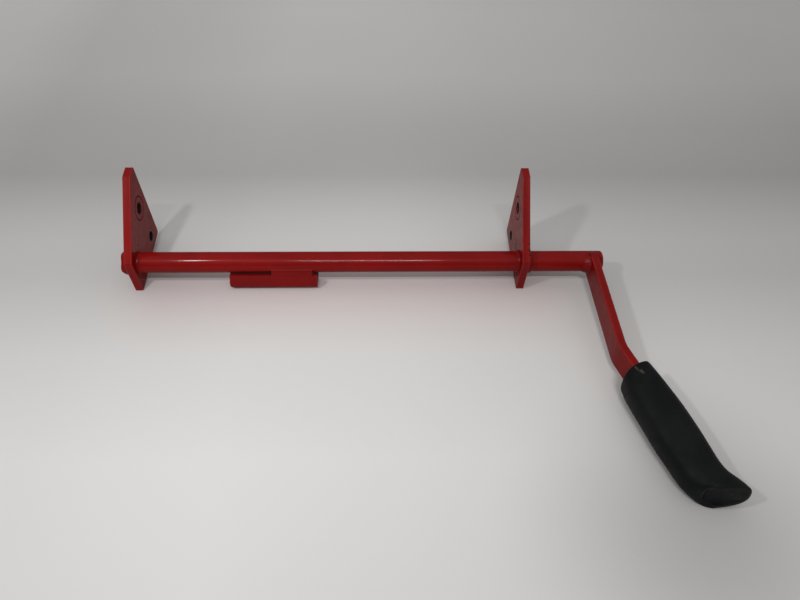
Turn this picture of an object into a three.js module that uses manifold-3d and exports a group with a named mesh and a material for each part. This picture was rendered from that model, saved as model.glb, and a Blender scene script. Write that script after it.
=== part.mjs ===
// A welded steel hand lever: a round cross shaft through two drilled lever plates, a slotted stop tab
// on the shaft's front, and a bent flat-bar arm with a push-on rubber grip.
// Millimetres, +Z up, the lever lying as it rests on a table: two plate corners and the grip's end.
// Inside the lever group the origin is on the shaft's axis, at the left plate's inner face.

import * as THREE from 'three';
import { mergeVertices } from 'three/addons/utils/BufferGeometryUtils.js';
import Module from 'manifold-3d';

const wasm = await Module();
wasm.setup();

// ---- driving dimensions -------------------------------------------------------------------------

const GAP = 0.3; // clearance between pieces that touch or are welded together

const SHAFT_R = 11;
const SHAFT_STUB_LEFT = 8; // shaft end beyond the left plate
const SHAFT_STUB_RIGHT = 6.6; // shaft end beyond the arm
const SHAFT_CHAMFER_LEFT = 1;
const SHAFT_CHAMFER_RIGHT = 2;

const PLATE_T = 8;
const PLATE_SPACING = 400.5; // between the two inner faces
const PLATE_W = 85;
const PLATE_H = 98.8;
const PLATE_FRONT_H = 43.3; // height of the front edge below the long slant
const PLATE_TOP_W = 14.5; // width of the top edge behind the slant
const PLATE_LEAN = THREE.MathUtils.degToRad(7.7); // the plates lean on their front corner
const SHAFT_AT = { x: 17.1, y: 26.7 }; // holes, from the plate's front bottom corner
const PIVOT_AT = { x: 62.9, y: 60.7 };
const REAR_AT = { x: 64.2, y: 15.5 };

const PIVOT_BUSH_R = 12.1;
const PIVOT_GROOVE = 1; // open groove round the pivot bushing
const PIVOT_BORE_R = 6;
const PIVOT_PROUD = 1.2; // the bushing stands this far out of the plate's outer face
const REAR_BUSH_R = 7.2;
const REAR_BORE_R = 5.6;
const REAR_PROUD = 0.8; // the thin collar of the rear bush, on the outer face

const ARM_T = 8;
const ARM_W = 26.7;
const ARM_X = 475.6; // inner face of the arm
const ARM_SLOPE = THREE.MathUtils.degToRad(2.53); // the arm falls towards the grip
const ARM_START = 3; // the coped end, from the shaft's axis
const ARM_TO_BEND = 124;
const ARM_BEND = THREE.MathUtils.degToRad(17);
const ARM_BEND_R = 34;
const ARM_AFTER_BEND = 128; // from the bend's corner to the bar's end, inside the grip

// The grip's section along the arm: how far past the bend's corner, the reach to the inner and the
// outer side, and half its height. Its middle hangs a little below the bar's. At the mouth the
// section leans, with its top nearer the shaft; at the end it is skewed, with its outer side further.
const GRIP_DROP = 0.8;
const GRIP_STATIONS = [
  { at: 26.4, inner: 14.0, outer: 15.6, high: 14.2, lean: 2.6, skew: -3 },
  { at: 27.6, inner: 15.6, outer: 17.2, high: 15.5, lean: 2.6, skew: -3 },
  { at: 31, inner: 16.5, outer: 18.0, high: 16.1, lean: 2.4, skew: -2.6 },
  { at: 42, inner: 18.2, outer: 19.3, high: 16.4, lean: 1.2, skew: -1 },
  { at: 58, inner: 19.4, outer: 20.5, high: 16.6, lean: 0, skew: 0 },
  { at: 74, inner: 20.1, outer: 21.0, high: 16.7, lean: 0, skew: 0 },
  { at: 98, inner: 21.3, outer: 20.2, high: 16.7, lean: 0, skew: 0 },
  { at: 114, inner: 20.8, outer: 18.9, high: 16.5, lean: 0, skew: 0 },
  { at: 130, inner: 20.5, outer: 17.8, high: 16.2, lean: 0, skew: 0 },
  { at: 138, inner: 19.3, outer: 19.2, high: 16.1, lean: 0, skew: 0.6 },
  { at: 146, inner: 16.9, outer: 24.6, high: 16.0, lean: 0, skew: 1.8 },
  { at: 151, inner: 14.6, outer: 27.6, high: 15.8, lean: 0, skew: 2.8 },
  { at: 155.2, inner: 12.8, outer: 28.4, high: 15.2, lean: 0, skew: 3.8 },
  { at: 156.6, inner: 10.4, outer: 27.2, high: 13.4, lean: 0, skew: 4.2 },
];
const GRIP_MOUTH_SPREAD = 8; // how far the mouth's rim may lean ahead of its first station
const GRIP_SQUARENESS = 2.6; // exponent of the rounded section, 2 is an ellipse

const TAB_FROM = 92.5; // the tab's ends along the shaft
const TAB_TO = 185.6;
const TAB_END_SLANT = 1.6; // how far the tab's top edge starts behind its bottom corner
const TAB_T = 3;
const TAB_FRONT_Y = -13.3;
const TAB_TOP_Z = -7.7;
const TAB_H = 16.6;
const TAB_FOOT = 20; // depth of the folded foot, which runs back under the shaft
const TAB_CORNER_R = 2.4;
const TAB_WELD_FROM = 138;
const TAB_WELD_TO = 181;
const TAB_WELD_TOE = 0.12; // radians below the shaft's front line where that weld begins
const TAB_WELD_LIP = 0.6;

// Weld beads round the shaft: how far they climb the face, and how far they run along the shaft.
const INNER_BEAD = { climb: 1.5, run: 2.8 };
const LEFT_OUTER_BEAD = { climb: 2.9, lobe: 0.5, run: 7 };
const RIGHT_OUTER_BEAD = { climb: 1.8, run: 6.2 };
const ARM_BEAD = { climb: 2.1, front: 3, run: 5.6 };
const ARM_BEAD_FROM = THREE.MathUtils.degToRad(106); // the arm's side beads end at its edges
const ARM_BEAD_TO = THREE.MathUtils.degToRad(254);
const EDGE_BEAD = { arc: 0.55, high: 0.6, lip: 1.6 }; // the short beads on the arm's two edges

const RED = 0xb01218;
const BUSHING_RED = 0x9a1418;
const BLACK = 0x0d0e0f;
const GRIP_BLACK = 0x1c1e1e;

// ---- helpers ------------------------------------------------------------------------------------

// Shape plane (x, y) with its depth along z, turned so that they become Y, Z and X.
const ACROSS_SHAFT = new THREE.Matrix4().makeBasis(
  new THREE.Vector3(0, 1, 0),
  new THREE.Vector3(0, 0, 1),
  new THREE.Vector3(1, 0, 0),
);

function toSolid(geometry) {
  const bare = geometry.clone();
  bare.deleteAttribute('normal');
  bare.deleteAttribute('uv');
  const merged = mergeVertices(bare);
  return new wasm.Manifold(new wasm.Mesh({
    numProp: 3,
    vertProperties: new Float32Array(merged.attributes.position.array),
    triVerts: new Uint32Array(merged.index.array),
  }));
}

function toGeometry(solid) {
  const mesh = solid.getMesh();
  const geometry = new THREE.BufferGeometry();
  geometry.setAttribute('position', new THREE.BufferAttribute(mesh.vertProperties, 3));
  geometry.setIndex(new THREE.BufferAttribute(mesh.triVerts, 1));
  geometry.computeVertexNormals();
  return geometry;
}

// A closed outline with rounded corners. Each corner is { x, y, r }.
function roundedOutline(corners) {
  const shape = new THREE.Shape();
  corners.forEach((corner, i) => {
    const here = new THREE.Vector2(corner.x, corner.y);
    const before = corners[(i + corners.length - 1) % corners.length];
    const after = corners[(i + 1) % corners.length];
    const toBefore = new THREE.Vector2(before.x, before.y).sub(here).normalize();
    const toAfter = new THREE.Vector2(after.x, after.y).sub(here).normalize();
    const reach = corner.r / Math.tan(Math.acos(toBefore.dot(toAfter)) / 2);
    const start = here.clone().addScaledVector(toBefore, reach);
    const end = here.clone().addScaledVector(toAfter, reach);
    if (i === 0) shape.moveTo(start.x, start.y);
    else shape.lineTo(start.x, start.y);
    shape.quadraticCurveTo(here.x, here.y, end.x, end.y);
  });
  shape.closePath();
  return shape;
}

function roundHole(shape, at, radius) {
  const hole = new THREE.Path();
  hole.absarc(at.x, at.y, radius, 0, 2 * Math.PI, true);
  shape.holes.push(hole);
}

function extrudeAcross(shape, fromX, thickness, curveSegments = 16) {
  const settings = { depth: thickness, bevelEnabled: false, curveSegments };
  return new THREE.ExtrudeGeometry(shape, settings)
    .applyMatrix4(ACROSS_SHAFT)
    .translate(fromX, 0, 0);
}

// A body through a row of rings of points, all with the same count. The row is capped at both ends,
// or joined end to end when it goes round in a circle.
function loft(rings, goesRound = false) {
  const count = rings[0].length;
  const positions = rings.flat().flatMap((point) => [point.x, point.y, point.z]);
  const index = [];
  const spans = goesRound ? rings.length : rings.length - 1;
  for (let ring = 0; ring < spans; ring += 1) {
    const next = (ring + 1) % rings.length;
    for (let i = 0; i < count; i += 1) {
      const j = (i + 1) % count;
      const [a, b] = [ring * count + i, ring * count + j];
      const [c, d] = [next * count + j, next * count + i];
      index.push(a, b, c, a, c, d);
    }
  }
  if (!goesRound) {
    const last = (rings.length - 1) * count;
    for (let i = 1; i < count - 1; i += 1) {
      index.push(0, i + 1, i);
      index.push(last, last + i, last + i + 1);
    }
  }
  const geometry = new THREE.BufferGeometry();
  geometry.setAttribute('position', new THREE.Float32BufferAttribute(positions, 3));
  geometry.setIndex(index);
  geometry.computeVertexNormals();
  return geometry;
}

function addMesh(parent, name, geometry, color, roughness, metalness) {
  const material = new THREE.MeshStandardMaterial({ color, roughness, metalness });
  const mesh = new THREE.Mesh(geometry, material);
  mesh.name = name;
  parent.add(mesh);
  return mesh;
}

// ---- shaft and lever plates ---------------------------------------------------------------------

function shaftGeometry() {
  const from = -PLATE_T - SHAFT_STUB_LEFT;
  const to = ARM_X + ARM_T + SHAFT_STUB_RIGHT;
  const profile = [
    new THREE.Vector2(0, from),
    new THREE.Vector2(SHAFT_R - SHAFT_CHAMFER_LEFT, from),
    new THREE.Vector2(SHAFT_R, from + SHAFT_CHAMFER_LEFT),
    new THREE.Vector2(SHAFT_R, to - SHAFT_CHAMFER_RIGHT),
    new THREE.Vector2(SHAFT_R - SHAFT_CHAMFER_RIGHT, to),
    new THREE.Vector2(0, to),
  ];
  return new THREE.LatheGeometry(profile, 48).rotateZ(-Math.PI / 2);
}

// Plate coordinates start at the front bottom corner; the shaft's centre is moved to the origin.
function fromShaft(at) {
  return { x: at.x - SHAFT_AT.x, y: at.y - SHAFT_AT.y };
}

function plateGeometry(fromX) {
  const outline = [
    { x: 0, y: 0, r: 1.5 },
    { x: PLATE_W, y: 0, r: 5 },
    { x: PLATE_W, y: PLATE_H, r: 2.5 },
    { x: PLATE_W - PLATE_TOP_W, y: PLATE_H, r: 1.5 },
    { x: 0, y: PLATE_FRONT_H, r: 2.5 },
  ].map((corner) => ({ ...fromShaft(corner), r: corner.r }));
  const shape = roundedOutline(outline);
  roundHole(shape, { x: 0, y: 0 }, SHAFT_R + GAP);
  roundHole(shape, fromShaft(PIVOT_AT), PIVOT_BUSH_R + PIVOT_GROOVE);
  roundHole(shape, fromShaft(REAR_AT), REAR_BUSH_R + GAP);
  return extrudeAcross(shape, fromX, PLATE_T);
}

// A plain bush in the plate, flush with the inner face and a little proud of the outer one.
function bushGeometry(at, radius, boreRadius, proud, innerX, outward) {
  const centre = fromShaft(at);
  const shape = new THREE.Shape();
  shape.absarc(centre.x, centre.y, radius, 0, 2 * Math.PI, false);
  roundHole(shape, centre, boreRadius);
  const length = PLATE_T + proud;
  const fromX = outward < 0 ? innerX - length : innerX;
  return extrudeAcross(shape, fromX, length, 20);
}

function addLeverPlate(lever, side, innerX, outward) {
  const plateX = outward < 0 ? innerX - PLATE_T : innerX;
  const bush = (at, radius, bore, proud) => bushGeometry(at, radius, bore, proud, innerX, outward);
  const pivot = bush(PIVOT_AT, PIVOT_BUSH_R, PIVOT_BORE_R, PIVOT_PROUD);
  const rear = bush(REAR_AT, REAR_BUSH_R, REAR_BORE_R, REAR_PROUD);
  const pieces = [
    addMesh(lever, `plate_${side}`, plateGeometry(plateX), RED, 0.35, 0.1),
    addMesh(lever, `pivot_bushing_${side}`, pivot, BUSHING_RED, 0.4, 0.2),
    addMesh(lever, `rear_bush_${side}`, rear, BLACK, 0.45, 0),
  ];
  pieces.forEach((piece) => {
    piece.rotation.x = PLATE_LEAN;
  });
}

// ---- stop tab -----------------------------------------------------------------------------------

// A folded strip: the upright front leg, and a foot that runs back under the shaft.
function tabGeometry() {
  const bottom = TAB_TOP_Z - TAB_H;
  const front = roundedOutline([
    { x: TAB_FROM, y: bottom, r: TAB_CORNER_R },
    { x: TAB_TO, y: bottom, r: 0.6 },
    { x: TAB_TO, y: TAB_TOP_Z, r: 0.6 },
    { x: TAB_FROM + TAB_END_SLANT, y: TAB_TOP_Z, r: 0.6 },
  ]);
  const settings = { depth: TAB_FOOT, bevelEnabled: false, curveSegments: 6 };
  const envelope = new THREE.ExtrudeGeometry(front, settings)
    .rotateX(Math.PI / 2)
    .translate(0, TAB_FRONT_Y + TAB_FOOT, 0);
  const inner = TAB_FRONT_Y + TAB_T;
  const fold = new THREE.Shape();
  fold.moveTo(TAB_FRONT_Y - GAP, bottom - GAP);
  fold.lineTo(TAB_FRONT_Y + TAB_FOOT, bottom - GAP);
  fold.lineTo(TAB_FRONT_Y + TAB_FOOT, bottom + TAB_T);
  fold.lineTo(inner, bottom + TAB_T);
  fold.lineTo(inner, TAB_TOP_Z + GAP);
  fold.lineTo(TAB_FRONT_Y - GAP, TAB_TOP_Z + GAP);
  fold.closePath();
  const profile = extrudeAcross(fold, TAB_FROM - GAP, TAB_TO - TAB_FROM + 2 * GAP);
  return toGeometry(toSolid(envelope).intersect(toSolid(profile)));
}

// The weld that closes the slot between tab and shaft over part of the tab's length.
function tabWeldGeometry() {
  const corner = (angle) => ({
    x: (SHAFT_R + GAP) * Math.cos(angle),
    y: (SHAFT_R + GAP) * Math.sin(angle),
  });
  const lowAngle = Math.PI + Math.asin((-TAB_TOP_Z - GAP) / (SHAFT_R + GAP));
  const highAngle = Math.PI + TAB_WELD_TOE;
  const high = corner(highAngle);
  const middle = corner((highAngle + lowAngle) / 2);
  const low = corner(lowAngle);
  const shape = new THREE.Shape();
  shape.moveTo(low.x, low.y);
  shape.lineTo(middle.x, middle.y);
  shape.lineTo(high.x, high.y);
  shape.lineTo(TAB_FRONT_Y + GAP, TAB_TOP_Z + GAP + TAB_WELD_LIP);
  shape.lineTo(TAB_FRONT_Y + GAP, TAB_TOP_Z + GAP);
  shape.closePath();
  return extrudeAcross(shape, TAB_WELD_FROM, TAB_WELD_TO - TAB_WELD_FROM);
}

// ---- arm and grip -------------------------------------------------------------------------------

// The arm's middle line, seen from above before the arm is sloped: it starts at the shaft's centre,
// runs towards -Y, and bends outwards to +X on an arc. Gives the point and the heading there.
function armPoint(distance) {
  const cut = ARM_BEND_R * Math.tan(ARM_BEND / 2);
  const arcStart = ARM_TO_BEND - cut;
  const arcLength = ARM_BEND_R * ARM_BEND;
  const middleX = ARM_X + ARM_T / 2;
  const turned = THREE.MathUtils.clamp((distance - arcStart) / ARM_BEND_R, 0, ARM_BEND);
  const heading = new THREE.Vector3(Math.sin(turned), -Math.cos(turned), 0);
  const point = new THREE.Vector3(middleX, -Math.min(distance, arcStart), 0);
  point.x += ARM_BEND_R * (1 - Math.cos(turned));
  point.y -= ARM_BEND_R * Math.sin(turned);
  const beyond = Math.max(0, distance - arcStart - arcLength);
  point.addScaledVector(heading, beyond);
  return { point, heading };
}

// Distances past the bend's corner are a little longer than distances along the arc.
const ARC_SAVING = 2 * ARM_BEND_R * Math.tan(ARM_BEND / 2) - ARM_BEND_R * ARM_BEND;

function alongArm(pastCorner) {
  return ARM_TO_BEND + pastCorner - ARC_SAVING;
}

function barRing(distance, halfThickness, halfWidth) {
  const { point, heading } = armPoint(distance);
  const side = new THREE.Vector3(-heading.y, heading.x, 0);
  const corners = [[1, -1], [1, 1], [-1, 1], [-1, -1]];
  return corners.map(([sideSign, upSign]) => {
    const corner = point.clone().addScaledVector(side, sideSign * halfThickness);
    corner.z = upSign * halfWidth;
    return corner;
  });
}

function barBetween(from, to, halfThickness, halfWidth) {
  const bendFrom = ARM_TO_BEND - ARM_BEND_R * Math.tan(ARM_BEND / 2);
  const bendSteps = 6;
  const stations = [from];
  for (let i = 0; i <= bendSteps; i += 1) {
    stations.push(bendFrom + (i / bendSteps) * ARM_BEND_R * ARM_BEND);
  }
  stations.push(to);
  const used = stations.filter((at) => at >= from && at <= to);
  return loft(used.map((at) => barRing(at, halfThickness, halfWidth)));
}

// The bar's end is coped to sit against the front of the shaft.
function armGeometry() {
  const bar = barBetween(ARM_START, alongArm(ARM_AFTER_BEND), ARM_T / 2, ARM_W / 2);
  const cope = new THREE.CylinderGeometry(SHAFT_R + GAP, SHAFT_R + GAP, 3 * ARM_T, 48)
    .rotateZ(Math.PI / 2)
    .translate(ARM_X + ARM_T / 2, 0, 0);
  return toGeometry(toSolid(bar).subtract(toSolid(cope)));
}

function gripRing(station) {
  const { point, heading } = armPoint(alongArm(station.at));
  const side = new THREE.Vector3(-heading.y, heading.x, 0);
  const count = 36;
  return Array.from({ length: count }, (_, i) => {
    const angle = (2 * Math.PI * i) / count;
    const [c, s] = [Math.cos(angle), Math.sin(angle)];
    const power = 2 / GRIP_SQUARENESS;
    const reach = c > 0 ? station.outer : station.inner;
    const sideways = Math.sign(c) * reach * Math.abs(c) ** power;
    const upwards = Math.sign(s) * station.high * Math.abs(s) ** power;
    const forward = (station.skew * sideways) / reach - (station.lean * upwards) / station.high;
    const corner = point.clone().addScaledVector(side, sideways).addScaledVector(heading, forward);
    corner.z = upwards - GRIP_DROP;
    return corner;
  });
}

function gripGeometry() {
  const body = toSolid(loft(GRIP_STATIONS.map(gripRing)));
  const mouth = alongArm(GRIP_STATIONS[0].at - GRIP_MOUTH_SPREAD);
  const end = alongArm(ARM_AFTER_BEND) + GAP;
  const socket = barBetween(mouth, end, ARM_T / 2 + GAP, ARM_W / 2 + GAP);
  return toGeometry(body.subtract(toSolid(socket)));
}

// ---- weld beads ---------------------------------------------------------------------------------

// A fillet round the shaft against a face at faceX, on the side that `away` points to. It climbs the
// face by up(angle) and runs out along the shaft by `along`; angle 0 is +Y and a quarter turn is +Z.
// The bead goes all the way round, or from one angle to another.
function ringWeldGeometry(faceX, away, up, along, arc = null) {
  const steps = arc ? 28 : 48;
  const inner = SHAFT_R + GAP;
  const start = faceX + away * GAP;
  const [from, to] = arc ?? [0, 2 * Math.PI];
  const outline = [[0, 0], [1, 0], [0.86, 0.5], [0.5, 0.86], [0, 1]];
  const rings = Array.from({ length: arc ? steps + 1 : steps }, (_, i) => {
    const angle = from + ((to - from) * i) / steps;
    const points = outline.map(([climb, run]) => new THREE.Vector3(
      start + away * run * along,
      (inner + climb * up(angle)) * Math.cos(angle),
      (inner + climb * up(angle)) * Math.sin(angle),
    ));
    return away > 0 ? points.reverse() : points;
  });
  return loft(rings, !arc);
}

// The short bead across the arm's edge, over the top (+1) or the bottom (-1) of the shaft.
function edgeWeldGeometry(sign) {
  const inner = SHAFT_R + GAP;
  const lip = -ARM_START + GAP;
  const shape = new THREE.Shape();
  const fromAngle = Math.acos(lip / inner);
  shape.moveTo(lip, sign * inner * Math.sin(fromAngle));
  const toAngle = fromAngle - EDGE_BEAD.arc;
  shape.absarc(0, 0, inner, sign * fromAngle, sign * toAngle, sign > 0);
  shape.lineTo(lip + EDGE_BEAD.lip, sign * (ARM_W / 2 - EDGE_BEAD.high));
  shape.lineTo(lip, sign * (ARM_W / 2 - GAP));
  shape.closePath();
  return extrudeAcross(shape, ARM_X, ARM_T, 6);
}

// ---- assembly -----------------------------------------------------------------------------------

function buildLever() {
  const lever = new THREE.Group();
  addMesh(lever, 'shaft', shaftGeometry(), RED, 0.35, 0.1);
  addLeverPlate(lever, 'left', 0, -1);
  addLeverPlate(lever, 'right', PLATE_SPACING, 1);
  addMesh(lever, 'stop_tab', tabGeometry(), RED, 0.35, 0.1);
  addMesh(lever, 'weld_stop_tab', tabWeldGeometry(), RED, 0.4, 0.1);

  const arm = addMesh(lever, 'lever_arm', armGeometry(), RED, 0.35, 0.1);
  const grip = addMesh(lever, 'hand_grip', gripGeometry(), GRIP_BLACK, 0.8, 0);
  arm.rotation.x = ARM_SLOPE;
  grip.rotation.x = ARM_SLOPE;

  const addWeld = (name, geometry) => addMesh(lever, name, geometry, RED, 0.4, 0.1);
  const addBead = (name, faceX, away, up, run, arc) => {
    addWeld(name, ringWeldGeometry(faceX, away, up, run, arc));
  };
  const left = LEFT_OUTER_BEAD;
  const lobed = (angle) => left.climb + left.lobe * Math.cos(2 * angle - 1);
  const inner = () => INNER_BEAD.climb;
  const outer = () => RIGHT_OUTER_BEAD.climb;
  const fullInFront = (angle) => ARM_BEAD.climb + ARM_BEAD.front * Math.cos(angle) ** 2;
  const frontArc = [ARM_BEAD_FROM, ARM_BEAD_TO];
  addBead('weld_plate_left_outer', -PLATE_T, -1, lobed, left.run);
  addBead('weld_plate_left_inner', 0, 1, inner, INNER_BEAD.run);
  addBead('weld_plate_right_inner', PLATE_SPACING, -1, inner, INNER_BEAD.run);
  addBead('weld_plate_right_outer', PLATE_SPACING + PLATE_T, 1, outer, RIGHT_OUTER_BEAD.run);
  addBead('weld_arm_inner', ARM_X, -1, fullInFront, ARM_BEAD.run, frontArc);
  addBead('weld_arm_outer', ARM_X + ARM_T, 1, fullInFront, ARM_BEAD.run - 1, frontArc);
  addWeld('weld_arm_top', edgeWeldGeometry(1)).rotation.x = ARM_SLOPE;
  addWeld('weld_arm_bottom', edgeWeldGeometry(-1)).rotation.x = ARM_SLOPE;
  return lever;
}

// The lever is moved so that the middle of its outer box is at x = y = 0 and it stands on z = 0.
const lever = buildLever();
lever.updateMatrixWorld(true);
const box = new THREE.Box3().setFromObject(lever, true);
lever.position.set(-(box.min.x + box.max.x) / 2, -(box.min.y + box.max.y) / 2, -box.min.z);

const group = new THREE.Group();
group.add(lever);

export default group;
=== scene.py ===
"""Looks for a welded red hand lever: cross shaft, two pivot plates, stop tab, bent arm and a rubber grip.

Shapes are written in lever millimetres: the origin is on the shaft's axis at the left plate's inner
face, +X runs along the shaft, -Y towards the grip, +Z up. put() moves them to the row frame.
"""

import math

import bmesh
import bpy
import numpy as np
from mathutils import Matrix, Vector
from mathutils.geometry import tessellate_polygon
from mathutils.noise import noise


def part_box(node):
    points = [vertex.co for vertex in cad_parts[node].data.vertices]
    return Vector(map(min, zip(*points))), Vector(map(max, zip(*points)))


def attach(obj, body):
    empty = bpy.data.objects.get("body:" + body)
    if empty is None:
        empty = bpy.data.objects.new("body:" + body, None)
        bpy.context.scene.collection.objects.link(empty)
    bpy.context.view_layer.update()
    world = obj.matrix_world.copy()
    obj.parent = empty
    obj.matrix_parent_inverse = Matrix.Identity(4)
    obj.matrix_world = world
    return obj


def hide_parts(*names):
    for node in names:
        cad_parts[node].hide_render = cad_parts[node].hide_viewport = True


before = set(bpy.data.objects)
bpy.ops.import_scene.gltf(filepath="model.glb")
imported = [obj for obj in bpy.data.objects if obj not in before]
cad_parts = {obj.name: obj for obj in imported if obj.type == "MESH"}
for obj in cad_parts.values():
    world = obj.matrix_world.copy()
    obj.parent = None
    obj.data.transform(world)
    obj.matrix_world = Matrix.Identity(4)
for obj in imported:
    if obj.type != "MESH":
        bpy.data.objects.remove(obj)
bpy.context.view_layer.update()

MM = 0.001
SHAFT_LO, SHAFT_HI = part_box("shaft")
ORIGIN = np.array([
    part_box("plate_left")[1].x,
    (SHAFT_LO.y + SHAFT_HI.y) / 2,
    (SHAFT_LO.z + SHAFT_HI.z) / 2,
])


def put(points):
    """Lever millimetres to the row frame's metres."""
    return np.asarray(points, float).reshape(-1, 3) * MM + ORIGIN


# ---- camera -------------------------------------------------------------------------------------

YAW, PITCH, ROLL = (math.radians(a) for a in (3.125, 46.0, 1.92))
CAMERA_AT = (246.45, -526.78, 487.32)
LENS, SENSOR = 30.25, 36
right = Vector((math.cos(YAW), -math.sin(YAW), 0))
look = Vector((
    math.sin(YAW) * math.cos(PITCH),
    math.cos(YAW) * math.cos(PITCH),
    -math.sin(PITCH),
))
up = right.cross(look)
cam_x = right * math.cos(ROLL) + up * math.sin(ROLL)
cam_y = up * math.cos(ROLL) - right * math.sin(ROLL)
camera = bpy.data.objects.new("camera", bpy.data.cameras.new("camera"))
camera.data.sensor_width = SENSOR
camera.data.lens = LENS
camera.data.clip_start = 0.02
camera.matrix_world = Matrix((cam_x, cam_y, -look)).transposed().to_4x4()
camera.location = put(CAMERA_AT)[0]
bpy.context.scene.collection.objects.link(camera)
bpy.context.scene.camera = camera
bpy.context.scene.view_settings.view_transform = "Standard"

# ---- dimensions, as in the CAD part -------------------------------------------------------------

SHAFT_R = 11.0
SHAFT_FROM, SHAFT_TO = -16.0, 490.2
PLATE_T = 8.0
PLATE_SPACING = 400.5
LEAN = math.radians(7.7)
PLATE_CORNERS = [
    (0, 0, 1.5), (85, 0, 5), (85, 98.8, 2.5), (70.5, 98.8, 1.5), (0, 43.3, 2.5),
]
SHAFT_AT = np.array([17.1, 26.7])
PIVOT_AT = np.array([62.9, 60.7]) - SHAFT_AT
REAR_AT = np.array([64.2, 15.5]) - SHAFT_AT
PIVOT_HOLE_R, PIVOT_R, PIVOT_BORE_R, PIVOT_PROUD = 13.1, 12.1, 6.0, 1.2
REAR_R, REAR_BORE_R, REAR_PROUD = 7.2, 5.6, 0.8
ARM_T, ARM_W, ARM_X = 8.0, 26.7, 475.6
SLOPE = math.radians(2.53)
TO_BEND, BEND, BEND_R, AFTER_BEND = 124.0, math.radians(17), 34.0, 128.0
GRIP_DROP = 0.8
# The grip's sections, close to the CAD part's but with the end turned a little more. The columns
# are: distance past the bend, reach to the inner and outer side, half height, lean and skew of the
# section's plane, sideways shear, squareness.
GRIP_STATIONS = np.array([
    [27.4, 14.6, 16.4, 15.8, 3.6, -2.2, 2.0, 2.5],
    [32.0, 15.7, 17.4, 16.1, 3.0, -2.0, 1.6, 2.5],
    [42.0, 18.0, 19.0, 16.4, 1.4, -0.8, 0.6, 2.6],
    [58.0, 19.4, 20.5, 16.6, 0.0, 0.0, 0.0, 2.6],
    [74.0, 20.1, 21.0, 16.7, 0.0, 0.0, 0.0, 2.6],
    [98.0, 21.3, 20.2, 16.7, 0.0, 0.0, 0.0, 2.6],
    [114.0, 20.8, 18.9, 16.5, 0.0, 0.0, 0.0, 2.6],
    [130.0, 20.5, 17.8, 16.2, 0.0, 0.0, 0.0, 2.6],
    [138.0, 19.3, 19.2, 16.1, 0.4, 1.5, 0.0, 2.6],
    [146.0, 16.9, 24.6, 16.0, 1.2, 3.8, 0.0, 2.6],
    [151.0, 14.7, 27.4, 15.7, 1.8, 5.3, 0.0, 2.6],
    [154.4, 12.8, 28.5, 15.0, 2.1, 6.3, 0.0, 2.6],
])
TAB_FROM, TAB_TO, TAB_TOP, TAB_H = 92.5, 185.6, -7.7, 16.6
TAB_FRONT, TAB_T, TAB_FOOT, TAB_SLANT = -13.3, 3.0, 20.0, 1.6
TAB_CORNER_R, TAB_FOOT_EXTRA = 2.4, 2.6
WELD_FROM, WELD_TO = 138.0, 181.0

# ---- node helpers -------------------------------------------------------------------------------


def add(tree, kind, values=None, **settings):
    """A new node, with its inputs linked or set from values."""
    node = tree.nodes.new(kind)
    for key, value in settings.items():
        setattr(node, key, value)
    for key, value in (values or {}).items():
        if isinstance(value, bpy.types.NodeSocket):
            tree.links.new(value, node.inputs[key])
        else:
            node.inputs[key].default_value = value
    return node


def place(tree, stretch=(1, 1, 1)):
    """Object coordinates, which are the row frame's metres on every piece."""
    where = add(tree, "ShaderNodeTexCoord").outputs["Object"]
    if stretch == (1, 1, 1):
        return where
    return add(tree, "ShaderNodeMapping", {"Vector": where, "Scale": stretch}).outputs[0]


def grain(tree, scale, detail=2.0, stretch=(1, 1, 1), roughness=0.5):
    """Noise from 0 to 1 with about scale bumps to the metre."""
    return add(tree, "ShaderNodeTexNoise", {
        "Vector": place(tree, stretch), "Scale": scale, "Detail": detail, "Roughness": roughness,
    }).outputs["Fac"]


def ranged(tree, value, low, high, to_low=0.0, to_high=1.0):
    """A smooth step from to_low to to_high while the value goes from low to high."""
    return add(tree, "ShaderNodeMapRange", {
        "Value": value, "From Min": low, "From Max": high, "To Min": to_low, "To Max": to_high,
    }, interpolation_type="SMOOTHSTEP").outputs[0]


def maths(tree, operation, a, b):
    return add(tree, "ShaderNodeMath", {0: a, 1: b}, operation=operation).outputs[0]


def mixed(tree, amount, a, b):
    values = {"Fac": amount, "Color1": a, "Color2": b}
    return add(tree, "ShaderNodeMixRGB", values).outputs[0]


def multiplied(tree, a, b):
    values = {"Fac": 1.0, "Color1": a, "Color2": b}
    return add(tree, "ShaderNodeMixRGB", values, blend_type="MULTIPLY").outputs[0]


def distance_to(tree, point):
    """Metres to a point of the row frame."""
    return add(tree, "ShaderNodeVectorMath", {0: place(tree), 1: point},
               operation="DISTANCE").outputs["Value"]


def mask(tree, name):
    """A mask from 0 to 1 that the mesh carries per point."""
    return add(tree, "ShaderNodeAttribute", attribute_name=name).outputs["Fac"]


def spots(tree, centres):
    """1 inside small soft-edged spots, given as lever millimetres and a radius in millimetres."""
    total = None
    for x, y, z, radius in centres:
        away = distance_to(tree, put((x, y, z))[0])
        one = ranged(tree, away, 0.4 * radius * MM, radius * MM, 1.0, 0.0)
        total = one if total is None else maths(tree, "MAXIMUM", total, one)
    return total


def rgb(r, g, b):
    return (r, g, b, 1.0)


def material(name, **sockets):
    made = bpy.data.materials.new(name)
    made.use_nodes = True
    shader = made.node_tree.nodes["Principled BSDF"]
    for key, value in sockets.items():
        shader.inputs[key.replace("_", " ")].default_value = value
    return made, made.node_tree, shader


def bumps(tree, shader, layers):
    """Stacks bump layers of (height, metres)."""
    normal = None
    for height, distance in layers:
        values = {"Height": height, "Distance": distance, "Strength": 1.0}
        if normal is not None:
            values["Normal"] = normal
        normal = add(tree, "ShaderNodeBump", values).outputs[0]
    tree.links.new(normal, shader.inputs["Normal"])


# ---- materials ----------------------------------------------------------------------------------


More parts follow.
